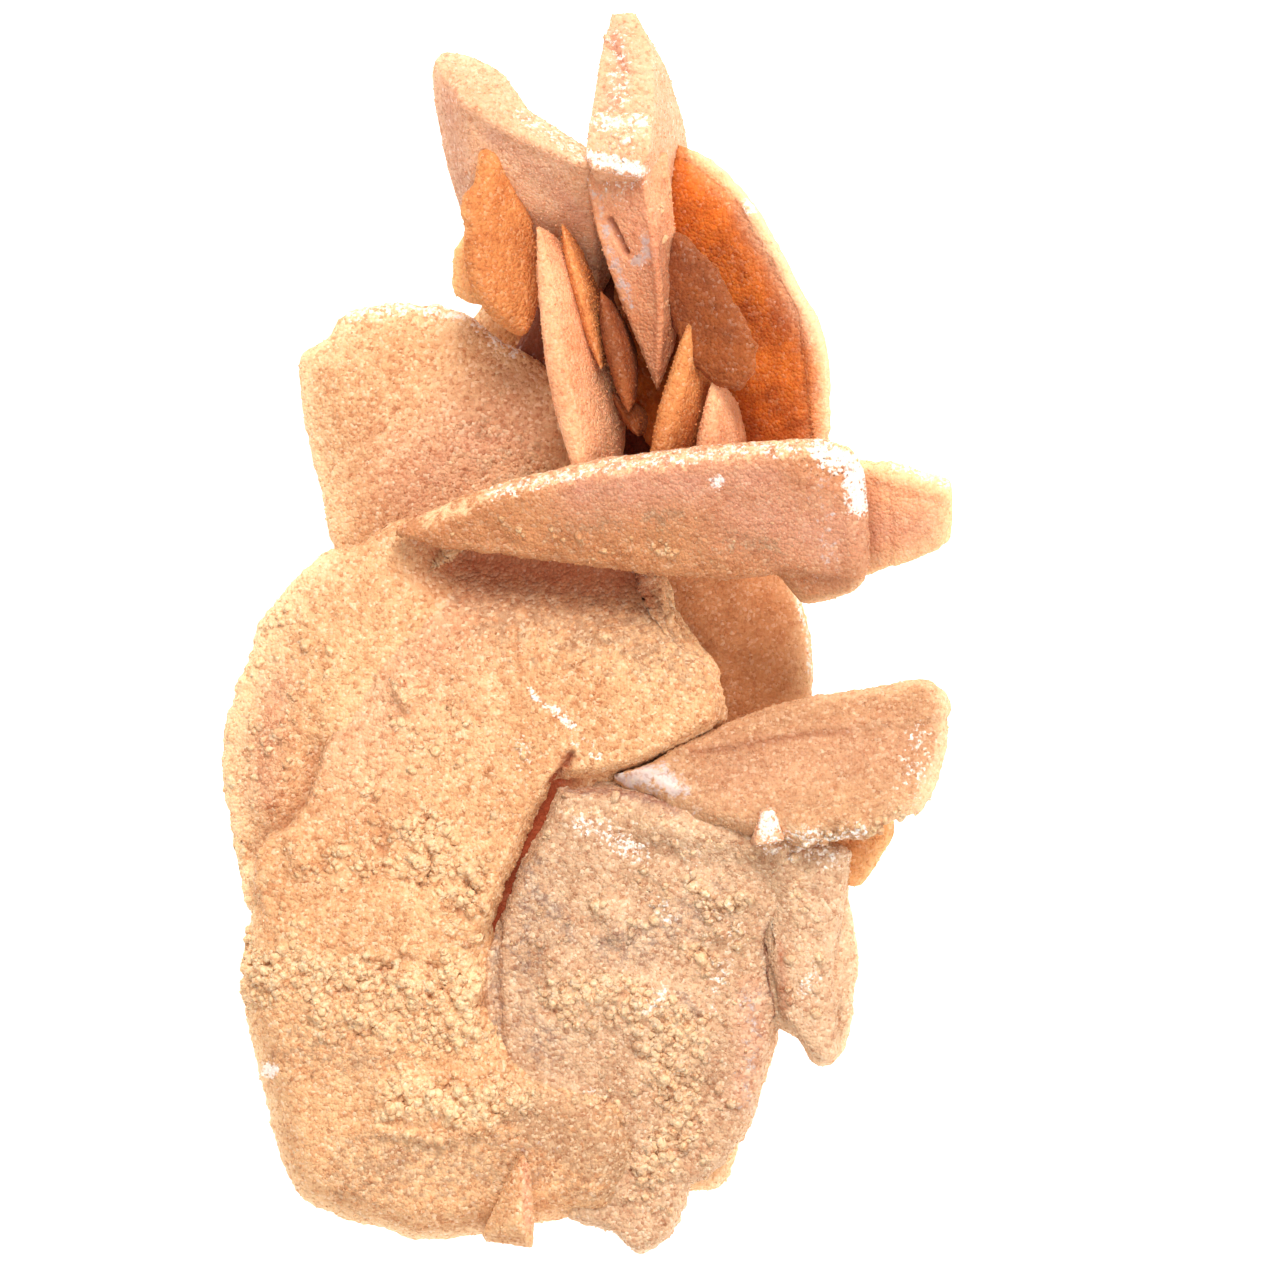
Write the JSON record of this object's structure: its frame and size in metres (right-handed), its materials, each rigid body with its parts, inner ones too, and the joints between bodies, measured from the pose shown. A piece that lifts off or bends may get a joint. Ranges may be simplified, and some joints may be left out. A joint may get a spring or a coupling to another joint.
{
  "type": "gypsum sand rose",
  "caption": "Gypsum sand rose lying on its back: intergrown, sand-filled, lens-shaped blades fanning out from a dark hollow and a broad crusted foot.",
  "frame": {"origin": "middle of the bounding box's footprint, on the surface it lies on", "axes": "+Y towards the crown of finger blades, +Z out of the side that shows, +X to the right as seen looking down on it"},
  "size_m": [0.0914, 0.1554, 0.053],
  "materials": {
    "sandy_gypsum": "rough, grainy, honey to orange-brown, faintly translucent at thin rims"
  },
  "bodies": {
    "root": {"sand_rose": "sandy_gypsum"}
  },
  "joints": []
}
